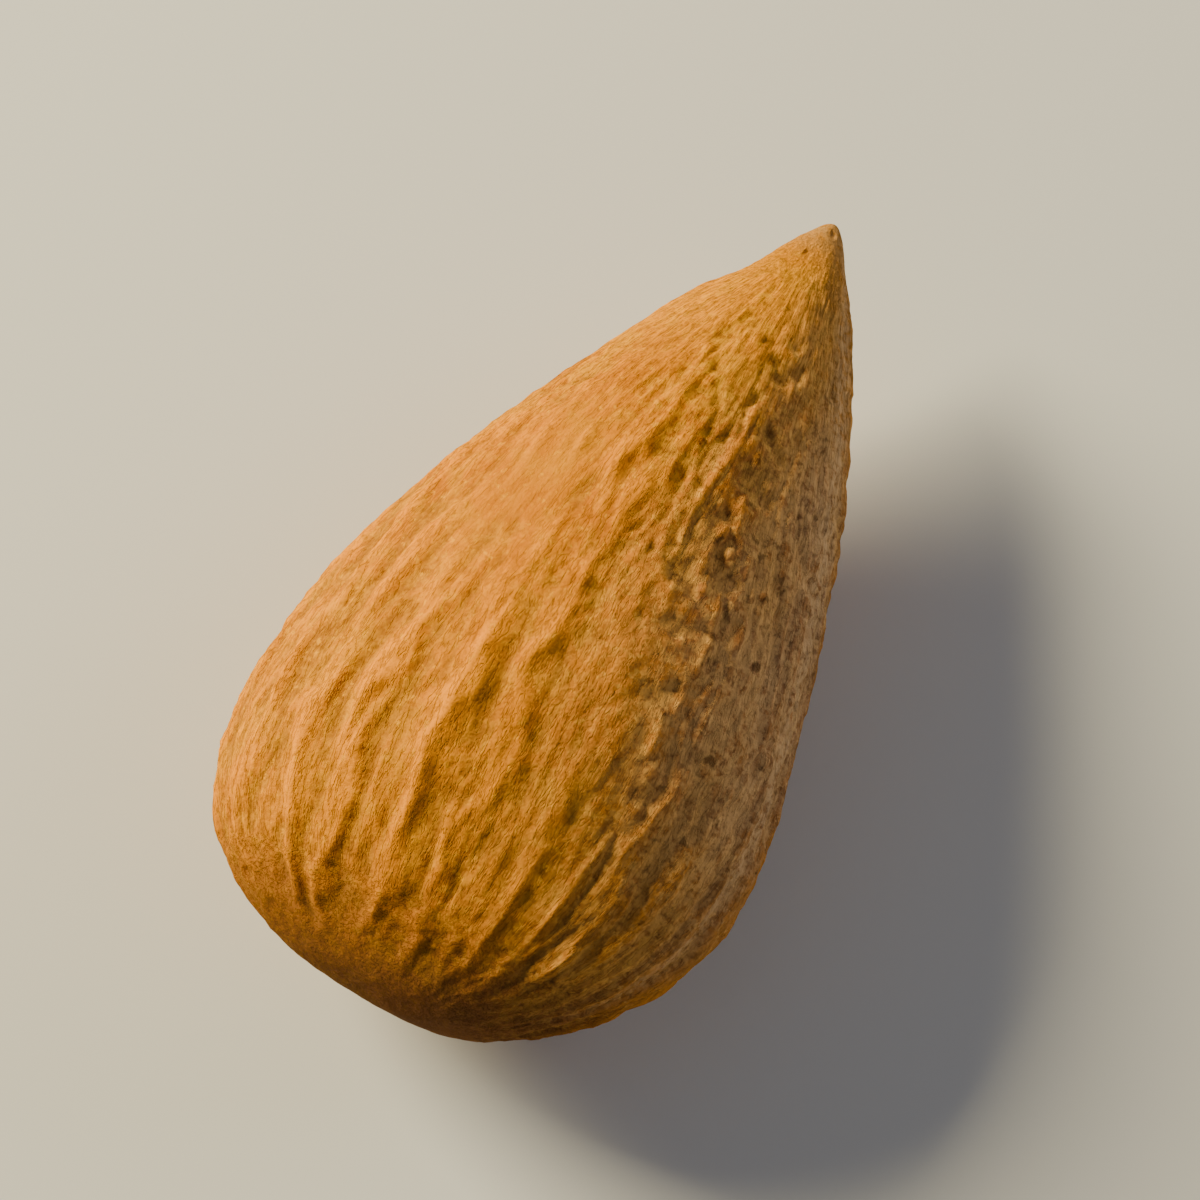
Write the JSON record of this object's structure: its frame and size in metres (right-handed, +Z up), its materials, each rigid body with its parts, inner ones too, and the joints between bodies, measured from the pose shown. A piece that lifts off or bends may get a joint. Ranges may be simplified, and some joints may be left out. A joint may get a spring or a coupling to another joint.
{
  "type": "almond",
  "caption": "Shelled almond kernel in its brown skin: a flattened teardrop with raised lengthwise veins, blunt at one end and pointed at the other, lying on a broad face.",
  "frame": {"origin": "on the resting plane, under the middle of the kernel's box", "axes": "+X from the blunt end to the tip, +Y towards the bulging edge, +Z up through the broad faces"},
  "size_m": [0.024, 0.0138, 0.0084],
  "materials": {
    "skin": null
  },
  "bodies": {
    "root": {"kernel": "skin"}
  },
  "joints": []
}
